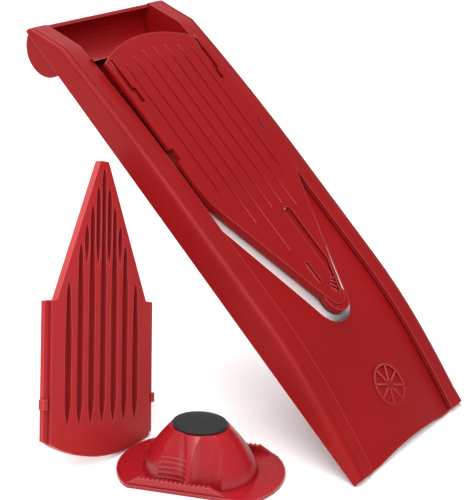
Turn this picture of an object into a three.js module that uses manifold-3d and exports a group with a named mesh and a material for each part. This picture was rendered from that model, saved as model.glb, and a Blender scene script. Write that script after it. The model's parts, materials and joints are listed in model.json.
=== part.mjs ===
// V-blade mandoline slicer set: the leaning frame with its thickness insert, a spare julienne
// insert standing beside it, and the food holder on the table in front.
// Units are millimetres, +Z is up, the table is z = 0. The frame leans with its foot towards +X
// and its width along Y. The origin is the bottom centre of the set's bounding box.
import * as THREE from "three";
import { mergeVertices } from "three/addons/utils/BufferGeometryUtils.js";
import Module from "manifold-3d";

const wasm = await Module();
wasm.setup();

// ---------------------------------------------------------------- driving dimensions
const GAP = 0.3;                 // clearance between neighbouring solids
const PLATE = 2.4;               // wall thickness of the moulded plastic

const LENGTH = 345;              // frame, foot to handle end
const WIDTH = 133;               // frame, outside the two walls
const HALF = WIDTH / 2;
const LEAN = THREE.MathUtils.degToRad(43.9);   // base plane of the frame against the table
const LEDGE = 16.5;              // width of each side ledge, wall included
const CHANNEL = HALF - LEDGE;    // half width of the channel between the ledges
const DECK_LEVEL = 16.5;         // run-out deck and blade above the base plane
const FOOT_LIP = 1.8;            // deck height at the foot edge
const FOOT_RUN = 110;            // length over which the deck rises from the foot
const STEP = 3.5;                // ledge above deck
const CROWN = 3.2;               // arch of the deck at the foot edge
const CROWN_RUN = 85;            // length over which the arch fades out
const LEDGE_FLAT_END = 200;      // station where the ledge starts to fall towards the handle
const BEND = 318;                // station where the ledge turns down to the handle end
const HANDLE_LIP = 3;            // ledge height at the handle end
const BED_START = 188;           // the channel is open under the insert from here on

const GUTTER_R = 17.5;             // half-round handle, outside radius
const GUTTER_S = LENGTH - GUTTER_R;
const GUTTER_N = 2;
const GUTTER_WALL = [303, 18.6];   // station and height of the wall between handle and insert

const CUT_VEE = { angle: THREE.MathUtils.degToRad(22), tip: 89.5, r: 11.7 };      // cutting edge
const INSERT_VEE = { angle: THREE.MathUtils.degToRad(24), tip: 93.6, r: 7.8 };    // edge of the insert
const BLADE_BAND = 4.8;          // blade outside the cutting V
const BLADE_TUCK = 1.5;          // cutting edge inside the edge of the insert, below its rim
const BLADE_THICK = 1.0;
const BLADE_END = CHANNEL - 3.5; // half width of the blade

const INSERT_TOP = 22.6;         // top of the thickness insert above the base plane
const INSERT_HALF = 48.4;        // half width of the thickness insert
const INSERT_ARC = 311;          // station of the middle of its curved end
const INSERT_CORNER = 298;
const INSERT_NECK = 200;         // the sides draw in from here to the V
const GROOVE_LOW = 11.6;         // guide grooves in the rails
const GROOVE_HIGH = 14.6;
const GROOVE_DEPTH = 3.2;
const LINE_PITCH = 11.2;         // raised lines on the insert
const NOSE_S = 99.5;             // round nose of the insert
const NOSE_R = 10.2;
const LATCH_Y = 12;              // middle of the latch arm
const LATCH_HALF = 3.2;
const LATCH_SUNK = 2.0;          // latch arm below the top of the insert
const LATCH_ROOT = 162;
const LATCH_TIP = 111;
const LATCH_ELBOW = [-LATCH_TIP, LATCH_Y - 1, 0];   // the pad turns off the arm here
const LATCH_TURN = -48;          // degrees
const LATCH_PAD = 12;
const LATCH_RIM = 2.8;           // plate left between the latch and the V

const JULIENNE_LENGTH = 178;
const JULIENNE_HALF = 47.5;      // over the side flanges
const JULIENNE_BODY = 43.3;      // body without the flanges
const JULIENNE_THICK = 4.6;
const JULIENNE_SHOULDER = 93;
const JULIENNE_TIP = 3.6;        // half width of the flat tip
const JULIENNE_SAG = 12;         // depth of the curved end
const FLUTE_PITCH = 9.8;
const FLUTE_DEPTH = 3.6;
const FLUTE_WIDE = 2.8;          // half width of the long flutes below the fork
const FLUTE_NARROW = 1.9;        // half width of all flutes above it
const FLUTE_FOOT = 19;           // lower end of the long flutes
const FORK = 114;                // lower end of the short flutes
const JULIENNE_BLADE_LONG = 12;
const JULIENNE_BLADE_TALL = 6.5;
const JULIENNE_PLACE = [-140, -135];
const JULIENNE_POSE = { facing: 1.2, back: -13.4, roll: -19 };   // degrees

const HOLDER_OVAL = 0.8;         // depth of the oval food holder over its width
const HOLDER_LIP = 2.2;          // brim thickness
const HOLDER_HEIGHT = 31;        // seat of the soft cap
const BRIM = { long: 51, deep: 44, cut: 30 };     // oval half axes, and where the long sides are cut flat
const FIN_Y = 28;
const PANEL_R = 13;              // concave finger panels of the dome, two on each long side
const PANEL_OUT = 36.1;
const PANEL_APART = 12.5;
const PANEL_SLOPE = -20;         // degrees
const HOLDER_PLACE = [-83.5, -105];
const HOLDER_TURN = 20.6;        // degrees
const CAP_R = 17;
const STEM_R = 5;
const PIN_PLATE_R = 13.5;
const PIN_COUNT = 8;

// ---------------------------------------------------------------- materials
const plastic = (color) => new THREE.MeshStandardMaterial({ color, roughness: 0.42, metalness: 0 });
const FRAME_RED = plastic(0xa3262a);
const INSERT_RED = plastic(0xa3262a);
const JULIENNE_RED = plastic(0xb8383c);
const HOLDER_RED = plastic(0xb01e26);
const STEEL = new THREE.MeshStandardMaterial({ color: 0xd8d8da, roughness: 0.22, metalness: 1 });
const SOFT_BLACK = new THREE.MeshStandardMaterial({ color: 0x3c3e3c, roughness: 0.8, metalness: 0 });

// ---------------------------------------------------------------- solids
function signedVolume(geometry) {
  const p = geometry.getAttribute("position");
  const index = geometry.getIndex();
  const [a, b, c] = [new THREE.Vector3(), new THREE.Vector3(), new THREE.Vector3()];
  let volume = 0;
  for (let i = 0; i < index.count; i += 3) {
    a.fromBufferAttribute(p, index.getX(i));
    b.fromBufferAttribute(p, index.getX(i + 1));
    c.fromBufferAttribute(p, index.getX(i + 2));
    volume += a.dot(b.cross(c)) / 6;
  }
  return volume;
}

function solid(source) {
  const bare = source.clone();
  bare.deleteAttribute("normal");
  bare.deleteAttribute("uv");
  const geometry = mergeVertices(bare, 1e-4);
  const triVerts = Uint32Array.from(geometry.getIndex().array);
  if (signedVolume(geometry) < 0) {
    for (let i = 0; i < triVerts.length; i += 3) {
      [triVerts[i + 1], triVerts[i + 2]] = [triVerts[i + 2], triVerts[i + 1]];
    }
  }
  const vertProperties = Float32Array.from(geometry.getAttribute("position").array);
  return new wasm.Manifold(new wasm.Mesh({ numProp: 3, vertProperties, triVerts }));
}

function addMesh(parent, name, body, material) {
  const data = body.getMesh();
  const geometry = new THREE.BufferGeometry();
  geometry.setAttribute("position", new THREE.BufferAttribute(data.vertProperties, 3));
  geometry.setIndex(new THREE.BufferAttribute(data.triVerts, 1));
  geometry.computeVertexNormals();
  const mesh = new THREE.Mesh(geometry, material);
  mesh.name = name;
  parent.add(mesh);
  return mesh;
}

const union = (parts) => parts.reduce((sum, part) => sum.add(part));

function box(x0, x1, y0, y1, z0, z1) {
  const geometry = new THREE.BoxGeometry(x1 - x0, y1 - y0, z1 - z0);
  return solid(geometry.translate((x0 + x1) / 2, (y0 + y1) / 2, (z0 + z1) / 2));
}

// A plate with a plan outline of [x, y] points between two heights.
function slab(points, z0, z1) {
  const shape = new THREE.Shape(points.map(([x, y]) => new THREE.Vector2(x, y)));
  const geometry = new THREE.ExtrudeGeometry(shape, { depth: z1 - z0, bevelEnabled: false });
  return solid(geometry.translate(0, 0, z0));
}

// A bar with an [x, z] profile between two places along Y.
function profileBar(points, y0, y1) {
  const shape = new THREE.Shape(points.map(([x, z]) => new THREE.Vector2(x, z)));
  const geometry = new THREE.ExtrudeGeometry(shape, { depth: y1 - y0, bevelEnabled: false });
  return solid(geometry.rotateX(Math.PI / 2).translate(0, y1, 0));
}

// A closed body through rings of [x, y, z] points, each ring lying in a plane across X.
function loft(sections) {
  const flat = (ring) => ring.map(([, y, z]) => new THREE.Vector2(y, z));
  const backwards = THREE.ShapeUtils.isClockWise(flat(sections[0]));
  const rings = backwards ? sections.map((ring) => ring.toReversed()) : sections;
  const count = rings[0].length;
  const index = [];
  for (let i = 0; i + 1 < rings.length; i += 1) {
    for (let j = 0; j < count; j += 1) {
      const a = i * count + j;
      const b = i * count + (j + 1) % count;
      index.push(a, b, b + count, a, b + count, a + count);
    }
  }
  const last = (rings.length - 1) * count;
  for (const [a, b, c] of THREE.ShapeUtils.triangulateShape(flat(rings[0]), [])) {
    index.push(c, b, a);
  }
  for (const [a, b, c] of THREE.ShapeUtils.triangulateShape(flat(rings.at(-1)), [])) {
    index.push(last + a, last + b, last + c);
  }
  const geometry = new THREE.BufferGeometry();
  geometry.setAttribute("position", new THREE.Float32BufferAttribute(rings.flat(2), 3));
  geometry.setIndex(index);
  return solid(geometry);
}

// A sheet over a grid of stations and places across, between two height functions.
function sheet(along, across, top, bottom) {
  const rows = across.length;
  const grid = (height) => along.flatMap((s) => across.flatMap((y) => [-s, y, height(s, y)]));
  const index = [];
  const quad = (a, b, c, d) => index.push(a, b, c, a, c, d);
  const under = along.length * rows;
  for (let i = 0; i + 1 < along.length; i += 1) {
    for (let j = 0; j + 1 < rows; j += 1) {
      const a = i * rows + j;
      quad(a, a + 1, a + 1 + rows, a + rows);
      quad(under + a, under + a + rows, under + a + 1 + rows, under + a + 1);
    }
    const [near, far] = [i * rows, i * rows + rows - 1];
    quad(near, near + rows, under + near + rows, under + near);
    quad(far, under + far, under + far + rows, far + rows);
  }
  for (let j = 0; j + 1 < rows; j += 1) {
    const last = (along.length - 1) * rows + j;
    quad(j, under + j, under + j + 1, j + 1);
    quad(last, last + 1, under + last + 1, under + last);
  }
  const geometry = new THREE.BufferGeometry();
  geometry.setAttribute("position", new THREE.Float32BufferAttribute([...grid(top), ...grid(bottom)], 3));
  geometry.setIndex(index);
  return solid(geometry);
}

// Places along a line, both ends included, no further apart than the step.
function stations(from, to, step) {
  const count = Math.ceil((to - from) / step);
  return Array.from({ length: count + 1 }, (_, i) => from + (to - from) * i / count);
}

// Points of a shallow arc over a chord: height above the chord's ends at each place across.
function sagAt(across, halfChord, sag) {
  const radius = (halfChord ** 2 + sag ** 2) / (2 * sag);
  return Math.sqrt(radius ** 2 - across ** 2) - (radius - sag);
}

// ---------------------------------------------------------------- frame
// In the frame's own axes a station s is the distance from the foot, so x = -s.
function deckHeight(s) {
  return FOOT_LIP + (DECK_LEVEL - FOOT_LIP) * Math.sin(Math.min(1, s / FOOT_RUN) * Math.PI / 2);
}

function crownHeight(s, y) {
  return CROWN * Math.max(0, 1 - s / CROWN_RUN) * Math.max(0, 1 - (y / CHANNEL) ** 2);
}

function ledgeHeight(s) {
  const fall = (at) => 4 * (Math.max(0, at - LEDGE_FLAT_END) / 105) ** 2;
  if (s <= BEND) return deckHeight(s) + STEP - fall(s);
  const top = DECK_LEVEL + STEP - fall(BEND);
  return THREE.MathUtils.lerp(top, HANDLE_LIP, (s - BEND) / (LENGTH - BEND));
}

function shoulderRadius(s) {
  return Math.min(2.4 + 3.4 * (1 - s / LENGTH), ledgeHeight(s) - 1);
}

// Cross-section of one wall and its ledge: [distance in from the outside, height] points.
function railSection(s) {
  const h = ledgeHeight(s);
  const r = shoulderRadius(s);
  const shoulder = stations(0, Math.PI / 2, 0.4).map((t) => [r - r * Math.cos(t), h - r + r * Math.sin(t)]);
  const crease = [[r + 0.3, h], [r + 1.0, h - 1.1], [r + 1.7, h]];
  const under = h - PLATE;
  const inner = [[PLATE + 0.7 * r, under], [PLATE, Math.max(0.2, under - 0.7 * r)], [PLATE, 0]];
  return [[0, 0], ...shoulder, ...crease, [LEDGE, h], [LEDGE, under], ...inner];
}

function rail(side) {
  const rings = [...stations(0, BEND, 11), ...stations(BEND, LENGTH, 9).slice(1)].map((s) =>
    railSection(s).map(([inset, n]) => [-s, side * (HALF - inset), n]));
  return loft(rings);
}

// Guide beam under the ledge beside the insert, with the groove the insert slides in.
function guideBeam(side) {
  const inner = side * CHANNEL;
  const outer = side * (CHANNEL + GROOVE_DEPTH + PLATE);
  const end = GUTTER_S - GUTTER_R + 1;
  const beam = loft(stations(BED_START, end, 24).map((s) => {
    const top = ledgeHeight(s) - 1;
    return [[-s, inner, 9], [-s, outer, 9], [-s, outer, top], [-s, inner, top]];
  }));
  const wallSide = side * (CHANNEL + GROOVE_DEPTH);
  const [low, high] = [Math.min(wallSide, side * (CHANNEL - 1)), Math.max(wallSide, side * (CHANNEL - 1))];
  return beam.subtract(box(-end + 1, -BED_START - 2, low, high, GROOVE_LOW, GROOVE_HIGH));
}

function deck() {
  const reach = CHANNEL + 1.5;
  const top = (s, y) => deckHeight(s) + crownHeight(s, y);
  return sheet(stations(0, BED_START + 12, 10), stations(-reach, reach, 9), top,
    (s, y) => Math.max(0, top(s, y) - PLATE));
}

// A V with a rounded tip, offset outwards, from one side round the tip to the other.
function veeEdge(vee, offset, reach) {
  const r = vee.r + offset;
  const centre = vee.tip + vee.r;
  const turn = Math.PI / 2 - vee.angle;
  const arc = stations(-turn, turn, 0.28).map((t) => [centre - r * Math.cos(t), r * Math.sin(t)]);
  const [tangentS, tangentY] = arc.at(-1);
  const armEnd = tangentS + (reach - tangentY) / Math.tan(vee.angle);
  return [[armEnd, -reach], ...arc, [armEnd, reach]].map(([s, y]) => [-s, y]);
}

// Plan outline of everything inside the V back to a station.
function veeArea(vee, offset, reach, back) {
  return [[-back, -reach], ...veeEdge(vee, offset, reach), [-back, reach]];
}

function footNotch() {
  const half = 38.5;
  const arc = stations(-half, half, 7).map((y) => [-sagAt(y, half, 2.2), y]);
  return slab([...arc, [2, half], [2, -half]], -1, 12);
}

// Half-round handle: a gutter across the frame, closed at both ends.
function gutter() {
  const inner = GUTTER_R - PLATE;
  const arc = (r, from, to) => stations(from, to, 0.2).map((t) => {
    return [-(GUTTER_S + r * Math.cos(t)), GUTTER_N - r * Math.sin(t)];
  });
  const [wallS, wallN] = GUTTER_WALL;
  const outside = arc(GUTTER_R, 0, Math.PI);
  const wall = [[-wallS, wallN], [-wallS - PLATE, wallN]];
  const shell = [...outside, ...wall, ...arc(inner, 0, Math.PI).reverse()];
  const ledgeTop = stations(GUTTER_S - GUTTER_R, LENGTH, 8).map((s) => [-s, ledgeHeight(s) - 0.6]);
  const cheek = [...outside, ...ledgeTop];
  const cheekEnd = HALF - 3;
  return union([
    profileBar(shell, -CHANNEL - 1, CHANNEL + 1),
    profileBar(cheek, -cheekEnd, -CHANNEL),
    profileBar(cheek, CHANNEL, cheekEnd),
  ]);
}

function crossRib(s, low, high, reach) {
  return box(-s - 1.1, -s + 1.1, -reach, reach, low, high);
}

// A plain raised badge on the run-out deck: a ring with spokes, like a cut slice.
function sliceBadge() {
  const [s, y] = [36, 4];
  const top = deckHeight(s) + crownHeight(s, y) + 0.6;
  const disc = (r, low, high) => {
    const geometry = new THREE.CylinderGeometry(r, r, high - low, 28).rotateX(Math.PI / 2);
    return solid(geometry.translate(0, 0, (low + high) / 2));
  };
  const ring = disc(14, -3, 0).subtract(disc(12.8, -4, 1));
  const hub = disc(3, -3, 0);
  const spokes = Array.from({ length: 4 }, (_, i) => {
    return box(-13, 13, -0.5, 0.5, -3, 0).rotate([0, 0, 45 * i + 22.5]);
  });
  const slope = Math.atan((deckHeight(s + 5) - deckHeight(s - 5)) / 10) * 180 / Math.PI;
  return union([ring, hub, ...spokes]).rotate([0, slope, 0]).translate([-s, y, top]);
}

function frameBody() {
  const bladeBed = slab(veeArea(CUT_VEE, BLADE_BAND + GAP, BLADE_END + GAP, BED_START + 14),
    DECK_LEVEL - BLADE_THICK - 2 * GAP, DECK_LEVEL + 8);
  const opening = slab(veeArea(CUT_VEE, 2.5, CHANNEL, LENGTH), 8, DECK_LEVEL + 8);
  const plate = union([deck(), ...[22, 48, 74].map((s) => crossRib(s, 1, deckHeight(s) - 1, CHANNEL + 1))])
    .subtract(footNotch()).subtract(bladeBed).subtract(opening);
  const sides = [-1, 1].flatMap((side) => [rail(side), guideBeam(side)]);
  const brace = crossRib(244, 2.5, 9.5, HALF - 1);
  const shelf = box(-GUTTER_WALL[0] - 5, -284, -CHANNEL - 1, CHANNEL + 1, 8, 8 + PLATE);
  return union([plate, ...sides, gutter(), brace, shelf, sliceBadge()]);
}

function bladeBody() {
  const outer = veeEdge(CUT_VEE, BLADE_BAND, BLADE_END);
  const inner = veeEdge(INSERT_VEE, -BLADE_TUCK, BLADE_END).reverse();
  return slab([...outer, ...inner], DECK_LEVEL - BLADE_THICK - GAP, DECK_LEVEL - GAP);
}

// ---------------------------------------------------------------- thickness insert
function insertOutline() {
  const sag = INSERT_ARC - INSERT_CORNER;
  const arc = stations(-INSERT_HALF, INSERT_HALF, 6).map((y) => {
    return [-(INSERT_CORNER + sagAt(y, INSERT_HALF, sag)), y];
  });
  const notch = (side) => [[229, 0], [229, 3.6], [220, 3.6], [220, 0]].map(([s, inset]) => {
    return [-s, side * (INSERT_HALF - inset)];
  });
  const vee = veeEdge(INSERT_VEE, 0, INSERT_HALF - 2).reverse();
  const neck = (side) => [-INSERT_NECK, side * INSERT_HALF];
  return [...arc, ...notch(1), neck(1), ...vee, neck(-1), ...notch(-1).reverse()];
}

// Wall under the edge between the V and the straight side of the insert.
function neckWall(side, top) {
  const start = INSERT_VEE.tip + INSERT_VEE.r - INSERT_VEE.r / Math.sin(INSERT_VEE.angle);
  const corner = start + (INSERT_HALF - 2) / Math.tan(INSERT_VEE.angle);
  const outer = [[corner, INSERT_HALF - 2], [INSERT_NECK, INSERT_HALF], [INSERT_NECK + 3, INSERT_HALF]];
  const inner = [[INSERT_NECK + 3, INSERT_HALF - 4.6], [corner + 4, INSERT_HALF - 4.6]];
  return slab([...outer, ...inner].map(([s, y]) => [-s, side * y]), DECK_LEVEL + 0.4, top);
}

// Everything the latch may fill: the V drawn in by the rim.
function latchArea(grow, low, high) {
  return slab(veeArea(INSERT_VEE, grow - LATCH_RIM, 40, LATCH_ROOT + 30), low, high);
}

// Plan of the latch: an arm with a round root and a short pad turned off its tip.
function latchPlan(grow, low, high) {
  const half = LATCH_HALF + grow;
  const arm = box(-LATCH_ROOT, -LATCH_TIP + 4, LATCH_Y - half, LATCH_Y + half, low, high);
  const root = new THREE.CylinderGeometry(half, half, high - low, 24).rotateX(Math.PI / 2);
  const pad = box(-2 - grow, LATCH_PAD + grow, -3 - grow, 3 + grow, low, high);
  return union([arm, solid(root.translate(-LATCH_ROOT, LATCH_Y, (low + high) / 2)),
    pad.rotate([0, 0, LATCH_TURN]).translate(LATCH_ELBOW)]).intersect(latchArea(grow, low, high));
}

function insertBody() {
  const under = INSERT_TOP - PLATE;
  const plate = slab(insertOutline(), under, INSERT_TOP);
  const skirts = [-1, 1].flatMap((side) => {
    const [a, b] = [side * (INSERT_HALF - 2.2), side * (INSERT_HALF - 4.6)];
    const flange = side * (CHANNEL + GROOVE_DEPTH - 0.6);
    return [
      box(-292, -231, Math.min(a, b), Math.max(a, b), GROOVE_LOW + 0.4, under + 1),
      box(-233, -216, Math.min(b, b - side * 4), Math.max(b, b - side * 4), GROOVE_LOW + 0.4, under + 1),
      box(-218, -201, Math.min(a, b), Math.max(a, b), GROOVE_LOW + 0.4, under + 1),
      neckWall(side, under + 1),
      box(-286, -232, Math.min(b, flange), Math.max(b, flange), GROOVE_LOW + 0.5, GROOVE_HIGH - 0.5),
    ];
  });
  const reach = INSERT_HALF - 2;
  const rim = slab([...veeEdge(INSERT_VEE, 0, reach), ...veeEdge(INSERT_VEE, -2.4, reach - 1).reverse()],
    DECK_LEVEL + 0.4, under + 1);
  const nose = new THREE.CylinderGeometry(NOSE_R, NOSE_R, 4.2, 36).rotateX(Math.PI / 2);
  const noseBody = solid(nose.translate(-NOSE_S, 0, INSERT_TOP - 0.7 - 2.1));
  const ribs = [214, 246, 278].map((s) => crossRib(s, DECK_LEVEL - 1, under + 1, INSERT_HALF - 1));
  const lines = [-3, -2, -1, 0, 1, 2, 3].map((i) => {
    const y = i * LINE_PITCH;
    const arcEnd = INSERT_CORNER + sagAt(y, INSERT_HALF, INSERT_ARC - INSERT_CORNER) - 11;
    const veeStart = INSERT_VEE.tip + 20 + Math.abs(y) / Math.tan(INSERT_VEE.angle);
    const start = i === 0 || i === 1 ? LATCH_ROOT + 7 : veeStart;
    return box(-arcEnd, -start, y - 0.45, y + 0.45, INSERT_TOP - 1, INSERT_TOP + 0.45);
  });
  const clipSlots = [-1, 1].flatMap((side) => [
    box(-299, -273, side * 43 - 1.7, side * 43 + 1.7, INSERT_TOP - 1.6, INSERT_TOP + 1),
    box(-276, -265, side * 41 - 1.7, side * 41 + 1.7, INSERT_TOP - 1.6, INSERT_TOP + 1),
  ]);
  const finger = box(-127, -112, -7, -3.4, INSERT_TOP - 1.6, INSERT_TOP + 1);
  const body = union([plate, ...skirts, rim, noseBody, ...ribs, ...lines]);
  return body.subtract(union([...clipSlots, finger, latchPlan(0.35, DECK_LEVEL - 2, INSERT_TOP + 1)]));
}

function latchBody() {
  const top = INSERT_TOP - LATCH_SUNK;
  const arm = latchPlan(0, top - 1.6, top);
  const ridges = [1.5, 4.5, 7.5, 10.5].map((along) => {
    return box(-0.6, 0.6, -2.4, 2.4, top - 1, top + 1).translate([along, 0, 0])
      .rotate([0, 0, LATCH_TURN]).translate(LATCH_ELBOW);
  });
  return union([arm, ...ridges]).intersect(latchArea(0, top - 2, top + 2));
}

// ---------------------------------------------------------------- julienne insert
// Built lying in X (width) and Y (length from the curved end), front face up.
function veeHalfWidth(y) {
  const slope = (JULIENNE_BODY - 4.2 - JULIENNE_TIP) / (JULIENNE_LENGTH - JULIENNE_SHOULDER);
  return JULIENNE_TIP + (JULIENNE_LENGTH - y) * slope;
}

function curvedEnd(half) {
  return stations(-half, half, 7).map((x) => [x, JULIENNE_SAG - sagAt(x, JULIENNE_HALF, JULIENNE_SAG)]);
}

// One flute between two ends, pointed at the foot and arched to a point at the head.
function flute(x, foot, head, wide) {
  const narrow = FLUTE_NARROW;
  const full = wide ? FLUTE_WIDE : narrow;
  const mid = Math.min(head - 14, FORK + 8);
  const side = [[0, foot], [full * 0.45, foot + 5], [full * 0.85, foot + 10], [full, foot + 15]];
  const upper = wide ? [[full, mid - 16], [narrow, mid]] : [];
  const half = [...side, ...upper, [narrow, head - 8], [narrow * 0.7, head - 3.5], [0.3, head]];
  const mirrored = half.filter(([w]) => w > 0).map(([w, y]) => [-w, y]).reverse();
  const points = [...half, ...mirrored].map(([w, y]) => [x + w, y]);
  return slab(points, JULIENNE_THICK - FLUTE_DEPTH, JULIENNE_THICK + 1);
}

function flutePlaces() {
  const long = [-3, -2, -1, 0, 1, 2, 3].map((i) => ({ x: i * FLUTE_PITCH, long: true }));
  const short = [-1.5, -0.5, 0.5, 1.5].map((i) => ({ x: i * FLUTE_PITCH, long: false }));
  return [...long, ...short].sort((a, b) => a.x - b.x);
}

function fluteHead(x) {
  const slope = (JULIENNE_BODY - 4.2 - JULIENNE_TIP) / (JULIENNE_LENGTH - JULIENNE_SHOULDER);
  return JULIENNE_LENGTH - 4 - Math.max(0, Math.abs(x) + 3.4 - JULIENNE_TIP) / slope;
}

function julienneBody() {
  const shoulderHalf = veeHalfWidth(JULIENNE_SHOULDER);
  const outline = (half) => [
    ...curvedEnd(half),
    [half, JULIENNE_SHOULDER], [shoulderHalf, JULIENNE_SHOULDER + 0.5],
    [JULIENNE_TIP, JULIENNE_LENGTH], [-JULIENNE_TIP, JULIENNE_LENGTH],
    [-shoulderHalf, JULIENNE_SHOULDER + 0.5], [-half, JULIENNE_SHOULDER],
  ];
  const flange = slab(outline(JULIENNE_HALF), 0, 2.6);
  const body = slab(outline(JULIENNE_BODY), 0, JULIENNE_THICK);
  const nubs = [-1, 1].map((side) => {
    const [a, b] = [side * (JULIENNE_HALF - 2), side * (JULIENNE_HALF + 0.9)];
    return box(Math.min(a, b), Math.max(a, b), 30, 36, 0, 4.2);
  });
  const flutes = flutePlaces().map(({ x, long }) => {
    return flute(x, long ? FLUTE_FOOT : FORK, fluteHead(x), long);
  });
  const slots = flutePlaces().map(({ x }) => {
    const head = fluteHead(x) - 1;
    return box(x - 0.7, x + 0.7, head - JULIENNE_BLADE_LONG - 0.4, head + 0.4, -1, 0.9);
  });
  return union([flange, body, ...nubs]).subtract(union([...flutes, ...slots]));
}

function julienneBlade(x) {
  const head = fluteHead(x) - 1;
  const [long, tall] = [JULIENNE_BLADE_LONG, JULIENNE_BLADE_TALL];
  const profile = [[0, 0.5], [0, -tall * 0.35], [-long * 0.45, -tall], [-long, -tall * 0.7], [-long, 0.5]];
  const shape = new THREE.Shape(profile.map(([y, z]) => new THREE.Vector2(y, z)));
  const geometry = new THREE.ExtrudeGeometry(shape, { depth: 0.7, bevelEnabled: false });
  geometry.applyMatrix4(new THREE.Matrix4().makeBasis(
    new THREE.Vector3(0, 1, 0), new THREE.Vector3(0, 0, 1), new THREE.Vector3(1, 0, 0)));
  return solid(geometry.translate(x - 0.35, head, 0));
}

// ---------------------------------------------------------------- food holder
function turned(profile, segments) {
  const points = profile.map(([r, z]) => new THREE.Vector2(r, z));
  const geometry = new THREE.LatheGeometry(points, segments);
  return solid(geometry.rotateX(Math.PI / 2).scale(1, HOLDER_OVAL, 1));
}

function domeRadius(z) {
  const t = z / HOLDER_HEIGHT;
  return CAP_R + 1 + 17.5 * (1 - t ** 1.6);
}

function domeProfile(inset, top) {
  const levels = stations(HOLDER_LIP / 2, top, 3.6);
  return levels.map((z) => [domeRadius(Math.min(HOLDER_HEIGHT, z + inset * 0.8)) - inset, z]);
}

function brimPlan() {
  return stations(0, 2 * Math.PI, 0.16).slice(1).map((t) => {
    const y = BRIM.deep * Math.sin(t);
    return [BRIM.long * Math.cos(t), THREE.MathUtils.clamp(y, -BRIM.cut, BRIM.cut)];
  });
}

// A guide fin along one long side, its top edge saw-toothed and sloping off at both ends.
function toothedFin() {
  const [from, to, teeth] = [-29, 13, 15];
  const pitch = (to - from) / teeth;
  const saw = Array.from({ length: teeth }, (_, i) => [
    [from + i * pitch, 7.4], [from + (i + 0.6) * pitch, 6.3],
  ]).flat();
  const profile = [[from - 10, 1], ...saw, [to, 7.2], [to + 14, 1]];
  return profileBar(profile, -FIN_Y - 1, -FIN_Y + 1);
}

// Leaning cylinders that press concave finger panels into the long sides of the dome.
function fingerPanels(grow, low, high, places = [-PANEL_APART, PANEL_APART]) {
  return union([0, 180].flatMap((turn) => places.map((x) => {
    const geometry = new THREE.CylinderGeometry(PANEL_R + grow, PANEL_R + grow, high - low, 40);
    const panel = solid(geometry.rotateX(Math.PI / 2).translate(x, 0, (low + high) / 2));
    return panel.rotate([PANEL_SLOPE, 0, 0]).translate([0, -PANEL_OUT, 0]).rotate([0, 0, turn]);
  })));
}

function holderBody() {
  const outer = turned([[0, 0.1], ...domeProfile(0, HOLDER_HEIGHT), [0, HOLDER_HEIGHT]], 48);
  const hollowTop = HOLDER_HEIGHT - PLATE;
  const skirt = [domeRadius(2) - PLATE, -1];
  const hollow = turned([[0, -1], skirt, ...domeProfile(PLATE, hollowTop), [0, hollowTop]], 48);
  const brim = slab(brimPlan(), 0, HOLDER_LIP);
  const fins = [toothedFin(), toothedFin().rotate([0, 0, 180])];
  const holeR = STEM_R + 0.4;
  const stemHole = turned([[0, hollowTop - 2], [holeR, hollowTop - 2], [holeR, 40], [0, 40]], 24);
  const ridges = [10, 13, 16, 19, 22].map((z) => {
    const ring = fingerPanels(0.5, z - 0.4, z + 0.4, [-PANEL_APART]);
    return ring.subtract(fingerPanels(-0.5, z - 1, z + 1));
  });
  const pressed = outer.subtract(fingerPanels(0, -8, 44));
  const cavity = hollow.subtract(fingerPanels(PLATE, -6, 60));
  const grips = union(ridges).intersect(outer);
  return union([pressed, grips, brim, ...fins]).subtract(cavity).subtract(stemHole);
}

function capBody() {
  const profile = [[0, HOLDER_HEIGHT + GAP], [CAP_R - 0.6, HOLDER_HEIGHT + GAP], [CAP_R, HOLDER_HEIGHT + 1],
    [CAP_R - 0.8, HOLDER_HEIGHT + 2.4], [CAP_R * 0.6, HOLDER_HEIGHT + 3.2], [0, HOLDER_HEIGHT + 3.6]];
  const [socketR, socketTop] = [STEM_R - 1.6, HOLDER_HEIGHT + 1.6];
  const socket = turned([[0, 30], [socketR, 30], [socketR, socketTop], [0, socketTop]], 20);
  return turned(profile, 44).subtract(socket);
}

function plungerBody() {
  const low = 6;
  const plate = turned([[0, low], [PIN_PLATE_R, low], [PIN_PLATE_R, low + 2.2], [0, low + 2.2]], 32);
  const stemTop = HOLDER_HEIGHT;
  const stem = turned([[0, low + 1], [STEM_R, low + 1], [STEM_R, stemTop], [STEM_R - 2, stemTop],
    [STEM_R - 2, stemTop + 1.3], [0, stemTop + 1.3]], 24);
  const bore = turned([[0, low - 1], [1.7, low - 1], [1.7, low + 12], [0, low + 12]], 16);
  const sockets = pinPlaces().map(([x, y]) => pinSolid(x, y, 0.95, low - 1, low + 1.5));
  return union([plate, stem]).subtract(union([bore, ...sockets]));
}

function pinPlaces() {
  return Array.from({ length: PIN_COUNT }, (_, i) => {
    const t = (i + 0.5) * 2 * Math.PI / PIN_COUNT;
    return [10.5 * Math.cos(t), 10.5 * HOLDER_OVAL * Math.sin(t)];
  });
}

function pinSolid(x, y, r, low, high) {
  const geometry = new THREE.CylinderGeometry(r, r, high - low, 10).rotateX(Math.PI / 2);
  return solid(geometry.translate(x, y, (low + high) / 2));
}

function pinBody(x, y) {
  const geometry = new THREE.LatheGeometry([[0, 0.6], [0.6, 2.6], [0.6, 7.1], [0, 7.1]]
    .map(([r, z]) => new THREE.Vector2(r, z)), 10);
  return solid(geometry.rotateX(Math.PI / 2).translate(x, y, 0));
}

function screwBody() {
  const profile = [[0, 3.6], [3.2, 3.6], [3.4, 4.4], [3.2, 5.6], [1.3, 5.6], [1.3, 15], [0, 16]];
  const slot = box(-4, 4, -0.5, 0.5, 3, 4.4);
  const geometry = new THREE.LatheGeometry(profile.map(([r, z]) => new THREE.Vector2(r, z)), 18);
  return solid(geometry.rotateX(Math.PI / 2)).subtract(slot);
}

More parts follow.
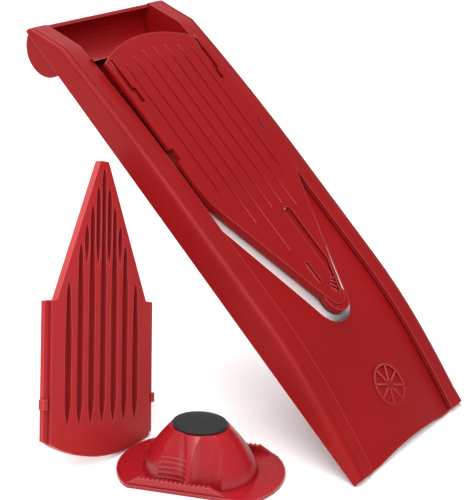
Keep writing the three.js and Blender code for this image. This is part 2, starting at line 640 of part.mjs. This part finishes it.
// ---------------------------------------------------------------- the set
function slicer() {
  const group = new THREE.Group();
  addMesh(group, "frame", frameBody(), FRAME_RED);
  addMesh(group, "v_blade", bladeBody(), STEEL);
  addMesh(group, "thickness_insert", insertBody(), INSERT_RED);
  addMesh(group, "thickness_latch", latchBody(), INSERT_RED);
  group.rotation.y = LEAN;
  return group;
}

function lowest(object) {
  object.updateMatrixWorld(true);
  const vertex = new THREE.Vector3();
  let low = Infinity;
  object.traverse((child) => {
    const points = child.geometry?.getAttribute("position");
    for (let i = 0; i < (points?.count ?? 0); i += 1) {
      low = Math.min(low, vertex.fromBufferAttribute(points, i).applyMatrix4(child.matrixWorld).z);
    }
  });
  return low;
}

// Stood on its curved end: the width runs along Y, the front faces +X, then the pose is applied.
function julienneInsert() {
  const group = new THREE.Group();
  addMesh(group, "julienne_insert", julienneBody(), JULIENNE_RED);
  flutePlaces().forEach(({ x }, i) => addMesh(group, `julienne_blade_${i + 1}`, julienneBlade(x), STEEL));
  const upright = new THREE.Matrix4().makeBasis(
    new THREE.Vector3(0, 1, 0), new THREE.Vector3(0, 0, 1), new THREE.Vector3(1, 0, 0));
  const turn = (axis, degrees) =>
    new THREE.Matrix4().makeRotationAxis(axis, THREE.MathUtils.degToRad(degrees));
  const pose = turn(new THREE.Vector3(0, 0, 1), JULIENNE_POSE.facing)
    .multiply(turn(new THREE.Vector3(0, 1, 0), JULIENNE_POSE.back))
    .multiply(turn(new THREE.Vector3(1, 0, 0), JULIENNE_POSE.roll));
  group.quaternion.setFromRotationMatrix(pose.multiply(upright));
  group.position.set(...JULIENNE_PLACE, 0);
  group.position.z -= lowest(group);
  return group;
}

function foodHolder() {
  const group = new THREE.Group();
  addMesh(group, "holder_body", holderBody(), HOLDER_RED);
  addMesh(group, "holder_cap", capBody(), SOFT_BLACK);
  addMesh(group, "plunger", plungerBody(), HOLDER_RED);
  addMesh(group, "plunger_screw", screwBody(), STEEL);
  pinPlaces().forEach(([x, y], i) => addMesh(group, `food_pin_${i + 1}`, pinBody(x, y), STEEL));
  group.rotation.z = THREE.MathUtils.degToRad(HOLDER_TURN);
  group.position.set(...HOLDER_PLACE, 0);
  return group;
}

const model = new THREE.Group();
model.add(slicer(), julienneInsert(), foodHolder());
const extent = new THREE.Box3().setFromObject(model, true);
model.position.set(-(extent.min.x + extent.max.x) / 2, -(extent.min.y + extent.max.y) / 2, 0);
export default model;
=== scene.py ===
"""Looks for the V-blade mandoline slicer set: refined surfaces, materials, light and camera.

Lengths are in metres and noise scales in waves per metre, unless a name says otherwise.
"""

import json
import math

import bmesh
import bpy
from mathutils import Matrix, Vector


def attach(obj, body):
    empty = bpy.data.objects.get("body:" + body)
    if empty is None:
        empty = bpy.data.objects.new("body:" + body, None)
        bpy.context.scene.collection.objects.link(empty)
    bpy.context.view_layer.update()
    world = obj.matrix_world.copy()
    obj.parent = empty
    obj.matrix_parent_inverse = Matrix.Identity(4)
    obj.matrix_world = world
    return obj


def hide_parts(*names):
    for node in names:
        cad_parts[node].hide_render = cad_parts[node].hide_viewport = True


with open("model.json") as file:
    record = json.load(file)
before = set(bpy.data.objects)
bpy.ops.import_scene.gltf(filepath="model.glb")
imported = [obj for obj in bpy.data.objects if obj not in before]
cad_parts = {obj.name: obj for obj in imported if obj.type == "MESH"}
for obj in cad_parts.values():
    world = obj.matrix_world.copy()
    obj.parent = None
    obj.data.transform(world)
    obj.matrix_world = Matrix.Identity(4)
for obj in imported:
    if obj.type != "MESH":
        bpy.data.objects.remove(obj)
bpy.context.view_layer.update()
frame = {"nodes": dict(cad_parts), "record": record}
nodes = frame["nodes"]
bodies = frame["record"]["behaviour"]["bodies"]
body_of = {node: body for body, members in bodies.items() for node in members}
slot_of = {part["node"]: part["material_slot"] for part in frame["record"]["subparts"]}


# ---------------------------------------------------------------- camera
CAMERA_AT = (0.46056, -0.58890, 0.39421)
CAMERA_AZIMUTH = 36.207          # degrees
CAMERA_DROP = 20.354             # degrees below the horizon
LENS_MM = 93.6
SENSOR_MM = 36.0
FARTHEST = 20.0                  # where the camera's view ends


def add_camera():
    data = bpy.data.cameras.new("camera")
    data.lens = LENS_MM
    data.sensor_width = SENSOR_MM
    data.clip_end = FARTHEST
    camera = bpy.data.objects.new("camera", data)
    camera.location = CAMERA_AT
    camera.rotation_euler = (math.radians(90 - CAMERA_DROP), 0, math.radians(CAMERA_AZIMUTH))
    bpy.context.collection.objects.link(camera)
    bpy.context.scene.camera = camera
    bpy.context.scene.view_settings.view_transform = "Standard"


add_camera()


# ---------------------------------------------------------------- node graphs
BLACK = (0.0, 0.0, 0.0, 1.0)
WHITE = (1.0, 1.0, 1.0, 1.0)


def shade(colour, factor):
    """A colour made darker or lighter, with alpha 1."""
    return (*[min(1.0, channel * factor) for channel in colour], 1.0)


class Graph:
    """A small helper for building one node material."""

    def __init__(self, name):
        self.material = bpy.data.materials.new(name)
        self.material.use_nodes = True
        self.tree = self.material.node_tree
        self.shader = self.tree.nodes["Principled BSDF"]
        texture = self.tree.nodes.new("ShaderNodeTexCoord").outputs
        self.coords = texture["Object"]
        # From 0 at the lowest point of a piece to 1 at its highest.
        self.height = self.node("ShaderNodeSeparateXYZ", {"Vector": texture["Generated"]}).outputs["Z"]

    def connect(self, socket, value):
        """Link a socket to another node's output, or give it a fixed value."""
        if isinstance(value, bpy.types.NodeSocket):
            self.tree.links.new(value, socket)
        else:
            socket.default_value = value

    def node(self, kind, inputs, **settings):
        item = self.tree.nodes.new(kind)
        for key, value in settings.items():
            setattr(item, key, value)
        for key, value in inputs.items():
            self.connect(item.inputs[key], value)
        return item

    def noise(self, scale, detail, vector=None):
        inputs = {"Vector": vector or self.coords, "Scale": scale, "Detail": detail}
        return self.node("ShaderNodeTexNoise", inputs).outputs["Fac"]

    def bands(self, source, stops):
        """Colours that change along a value, from (place, colour) pairs."""
        item = self.node("ShaderNodeValToRGB", {"Fac": source})
        elements = item.color_ramp.elements
        while len(elements) < len(stops):
            elements.new(1.0)
        for element, (place, colour) in zip(elements, stops):
            element.position = place
            element.color = colour
        return item.outputs["Color"]

    def ramp(self, source, low, high, places=(0.3, 0.7)):
        return self.bands(source, list(zip(places, (low, high))))

    def spread(self, source, low, high):
        inputs = {"Value": source, "To Min": low, "To Max": high}
        return self.node("ShaderNodeMapRange", inputs).outputs["Result"]

    def bump(self, height, strength, distance, under=None):
        inputs = {"Height": height, "Strength": strength, "Distance": distance}
        if under:
            inputs["Normal"] = under
        return self.node("ShaderNodeBump", inputs).outputs["Normal"]

    def mix(self, factor, low, high):
        item = self.tree.nodes.new("ShaderNodeMix")
        item.data_type = "RGBA"
        colours = [socket for socket in item.inputs if socket.type == "RGBA"]
        for socket, value in zip((item.inputs["Factor"], *colours), (factor, low, high)):
            self.connect(socket, value)
        return next(socket for socket in item.outputs if socket.type == "RGBA")

    def closed(self, distance, inside=False):
        """How closed in the surface is within a distance, looking outwards or into the solid."""
        settings = {"samples": 8, "inside": inside, "only_local": inside}
        item = self.node("ShaderNodeAmbientOcclusion", {"Distance": distance}, **settings)
        return self.spread(item.outputs["AO"], 1.0, 0.0)

    def feed(self, **values):
        """Connect the shader's own sockets, named with underscores for spaces."""
        for key, value in values.items():
            self.connect(self.shader.inputs[key.replace("_", " ")], value)


# ---------------------------------------------------------------- materials
CREASE_SHADE_REACH = 0.009             # how far the painted shade in creases and hollows reaches
EDGE_HIGHLIGHT_REACH = 0.0011              # width of the painted highlight along convex edges
EDGE_HIGHLIGHT_COVER = 0.55                # how much of the plastic's own colour the painted edge highlight hides
# Paler red of the painted edge highlight.
EDGE_HIGHLIGHT_RED = (0.60, 0.12, 0.13, 1.0)
FLOW_SCALE = 14.0                # mottling where the melt flowed
SCUFF_SCALE = 90.0
WAVE_SCALE = 22.0                # sink waves of a thin moulded wall
WAVE_DEPTH = 0.0006
GRAIN_SCALE = 900.0              # spark-eroded texture of the mould
GRAIN_DEPTH = 0.00004
PLASTIC_IOR = 1.46
PLASTIC_SCATTER = (0.003, 0.0006, 0.0005)


def moulded_plastic(
        name, colour, roughness, gloss,
        crease_shade_places=(0.30, 0.85), crease_shade_tone=0.42, edge_light_and_shade_bands=((0.0, EDGE_HIGHLIGHT_RED), (1.0, EDGE_HIGHLIGHT_RED))):
    """Satin injection-moulded plastic with mottling, grain and scuffs, painted shade in creases and painted
    highlights on edges.
    """
    g = Graph(name)
    body = g.ramp(g.noise(FLOW_SCALE, 4.0), shade(colour, 0.93), shade(colour, 1.06))
    # Painted shade: the colour darkens where nearby surfaces close in, in creases, hollows and gaps between
    # parts.
    crease_shade_mask = g.ramp(g.closed(CREASE_SHADE_REACH), BLACK, WHITE, crease_shade_places)
    with_crease_shade = g.mix(crease_shade_mask, body, shade(colour, crease_shade_tone))
    # Painted highlight: convex edges turn paler, in the edge colours given along the piece's height; for the
    # insert these colours also paint shade on its upper raised lines.
    edge_highlight_mask = g.ramp(g.closed(EDGE_HIGHLIGHT_REACH, inside=True), BLACK, shade((EDGE_HIGHLIGHT_COVER,) * 3, 1.0), (0.22, 0.60))
    waves = g.bump(g.noise(WAVE_SCALE, 1.0), 0.10, WAVE_DEPTH)
    g.feed(
        Base_Color=g.mix(edge_highlight_mask, with_crease_shade, g.bands(g.height, edge_light_and_shade_bands)),
        Roughness=g.spread(g.noise(SCUFF_SCALE, 6.0), roughness * 0.8, roughness * 1.25),
        Normal=g.bump(g.noise(GRAIN_SCALE, 2.0), 0.25, GRAIN_DEPTH, waves),
        IOR=PLASTIC_IOR,
        Specular_IOR_Level=gloss,
        Subsurface_Weight=0.04,
        Subsurface_Radius=PLASTIC_SCATTER,
    )
    return g.material


STEEL_DIM = (0.80, 0.80, 0.81, 1.0)
STEEL_BRIGHT = (0.92, 0.91, 0.91, 1.0)
# Painted dark reflection at the blade's tip.
STEEL_TIP_REFLECTION = (0.15, 0.13, 0.13, 1.0)
# Painted shade where other pieces sit close over the steel.
STEEL_NEIGHBOUR_SHADE = (0.07, 0.04, 0.04, 1.0)
STEEL_SHADE_REACH = 0.006              # how far the painted shade from a piece above reaches over the steel beside it
STEEL_CLOUD = 60.0
GRIND_SCALE = (300.0, 4000.0, 300.0)
GRIND_DEPTH = 0.00002


def ground_steel(name, roughness):
    """Blade steel with fine grinding lines along one direction, a painted dark reflection at its tip and
    painted shade under its neighbours.
    """
    g = Graph(name)
    squeezed = g.node("ShaderNodeMapping", {"Vector": g.coords, "Scale": GRIND_SCALE}).outputs["Vector"]
    lines = g.noise(1.0, 3.0, squeezed)
    bright = g.ramp(g.noise(STEEL_CLOUD, 2.0), STEEL_DIM, STEEL_BRIGHT)
    # Painted dark reflection over the lowest few hundredths of the piece's height, where the tip is.
    tip_reflection_mask = g.ramp(g.height, WHITE, BLACK, (0.02, 0.09))
    # Painted shade where other pieces close in over the steel.
    neighbour_shade_mask = g.ramp(g.closed(STEEL_SHADE_REACH), BLACK, WHITE, (0.26, 0.66))
    g.feed(
        Base_Color=g.mix(neighbour_shade_mask, g.mix(tip_reflection_mask, bright, STEEL_TIP_REFLECTION), STEEL_NEIGHBOUR_SHADE),
        Roughness=g.spread(lines, roughness * 0.7, roughness * 1.5),
        Normal=g.bump(lines, 0.15, GRIND_DEPTH),
        Metallic=0.55,
    )
    return g.material


RUBBER_CLOUD = 120.0
RUBBER_GRAIN = 2600.0
RUBBER_DEPTH = 0.00006


def soft_rubber(name, colour):
    """Matt rubber with a fine grain."""
    g = Graph(name)
    cloud = g.noise(RUBBER_CLOUD, 3.0)
    g.feed(
        Base_Color=g.ramp(cloud, shade(colour, 0.85), shade(colour, 1.2)),
        Roughness=g.spread(cloud, 0.62, 0.78),
        Normal=g.bump(g.noise(RUBBER_GRAIN, 2.0), 0.5, RUBBER_DEPTH),
        Sheen_Weight=0.10,
        Specular_IOR_Level=0.25,
    )
    return g.material


RED = (0.232, 0.0035, 0.0045)
PALE_RED = (0.37, 0.016, 0.018)
HOLDER_RED = (0.31, 0.006, 0.011)
CAP_BLACK = (0.012, 0.013, 0.013)
# Darker red of painted shade on edges.
EDGE_SHADE_RED = shade(RED, 0.45)

# The insert's raised lines get a painted highlight near the nose and painted shade above, and its arc gets a
# painted highlight again.
INSERT_EDGE_LIGHT_AND_SHADE = [(0.39, EDGE_HIGHLIGHT_RED), (0.49, EDGE_SHADE_RED), (0.90, EDGE_SHADE_RED), (0.94, EDGE_HIGHLIGHT_RED)]

materials = {
    "red_plastic": moulded_plastic("slicer_red", RED, 0.44, gloss=0.17),
    "insert_plastic": moulded_plastic("insert_red", RED, 0.44, gloss=0.15, edge_light_and_shade_bands=INSERT_EDGE_LIGHT_AND_SHADE),
    # The julienne gets stronger painted shade in its flutes.
    "julienne_plastic": moulded_plastic(
        "julienne_red", PALE_RED, 0.40, gloss=0.35, crease_shade_places=(0.12, 0.60), crease_shade_tone=0.60),
    "holder_plastic": moulded_plastic("holder_red", HOLDER_RED, 0.27, gloss=0.55),
    "blade_steel": ground_steel("blade_steel", 0.30),
    "soft_cap": soft_rubber("soft_cap", CAP_BLACK),
}


# ---------------------------------------------------------------- refined pieces
WELD = 1e-6
SHARP_DEGREES = 32.0             # edges that bend more than this stay sharp in the shading
ROUND_DEGREES = 34.0             # edges that bend more than this are rounded
ROUND_SEGMENTS = 2
ROUNDING = {
    "frame": 0.0004,
    "thickness_insert": 0.0004,
    "thickness_latch": 0.0003,
    "julienne_insert": 0.0005,
    "holder_body": 0.0005,
    "holder_cap": 0.0006,
    "plunger": 0.0002,
}


def welded(source, name):
    """A copy of a mesh with the corners of its facets joined."""
    mesh = source.copy()
    mesh.name = name
    bm = bmesh.new()
    bm.from_mesh(mesh)
    bmesh.ops.remove_doubles(bm, verts=bm.verts, dist=WELD)
    bm.to_mesh(mesh)
    bm.free()
    return mesh


def refined(node):
    """A copy of a CAD node with its edges rounded and its curves shaded smooth."""
    mesh = welded(nodes[node].data, f"{node}_fine")
    mesh.materials.clear()
    mesh.materials.append(materials[slot_of[node]])
    piece = bpy.data.objects.new(f"{node}_fine", mesh)
    bpy.context.collection.objects.link(piece)
    if node in ROUNDING:
        rounding = piece.modifiers.new("rounding", "BEVEL")
        rounding.width = ROUNDING[node]
        rounding.segments = ROUND_SEGMENTS
        rounding.limit_method = "ANGLE"
        rounding.angle_limit = math.radians(ROUND_DEGREES)
        rounding.miter_outer = "MITER_ARC"
    for face in mesh.polygons:
        face.use_smooth = True
    mesh.set_sharp_from_angle(angle=math.radians(SHARP_DEGREES))
    weighted = piece.modifiers.new("weighted", "WEIGHTED_NORMAL")
    weighted.keep_sharp = True
    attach(piece, body_of[node])
    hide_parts(node)


for node in sorted(nodes):
    refined(node)


# ---------------------------------------------------------------- floor
FLOOR_HALF = 6.0
FLOOR_SCALE = 3.0
FLOOR_DIM = shade((0.90,) * 3, 1.0)
FLOOR_BRIGHT = shade((0.92,) * 3, 1.0)


def add_floor():
    g = Graph("floor_white")
    g.feed(Base_Color=g.ramp(g.noise(FLOOR_SCALE, 3.0), FLOOR_DIM, FLOOR_BRIGHT), Roughness=0.85)
    corners = [(-1, -1), (1, -1), (1, 1), (-1, 1)]
    mesh = bpy.data.meshes.new("floor")
    mesh.from_pydata([(FLOOR_HALF * x, FLOOR_HALF * y, 0) for x, y in corners], [], [range(4)])
    mesh.materials.append(g.material)
    floor = bpy.data.objects.new("floor", mesh)
    bpy.context.collection.objects.link(floor)


add_floor()


# ---------------------------------------------------------------- light
WORLD_STRENGTH = 0.35
CENTRE = (0.0, 0.0, 0.1)
BACKDROP = (-0.75, 1.1)          # the middle of the lit floor behind the slicer


def soft_light(name, at, towards, size, watts):
    """A square area light."""
    data = bpy.data.lights.new(name, "AREA")
    data.energy = watts
    data.shape = "SQUARE"
    data.size = size
    light = bpy.data.objects.new(name, data)
    light.location = at
    light.rotation_euler = (Vector(towards) - Vector(at)).to_track_quat("-Z", "Y").to_euler()
    bpy.context.collection.objects.link(light)


world = bpy.data.worlds.new("studio")
world.use_nodes = True
background = world.node_tree.nodes["Background"]
background.inputs["Color"].default_value = WHITE
background.inputs["Strength"].default_value = WORLD_STRENGTH
bpy.context.scene.world = world

soft_light("key", (0.75, -1.05, 1.45), CENTRE, 1.5, 40.0)
soft_light("left", (-1.1, -0.9, 0.9), CENTRE, 0.9, 5.0)
soft_light("lobe", (-1.3, 0.15, 0.55), CENTRE, 0.8, 9.0)
soft_light("over", (-0.3, 0.1, 1.9), CENTRE, 1.2, 14.0)
soft_light("backdrop", (*BACKDROP, 1.9), (*BACKDROP, 0.0), 1.8, 26.0)
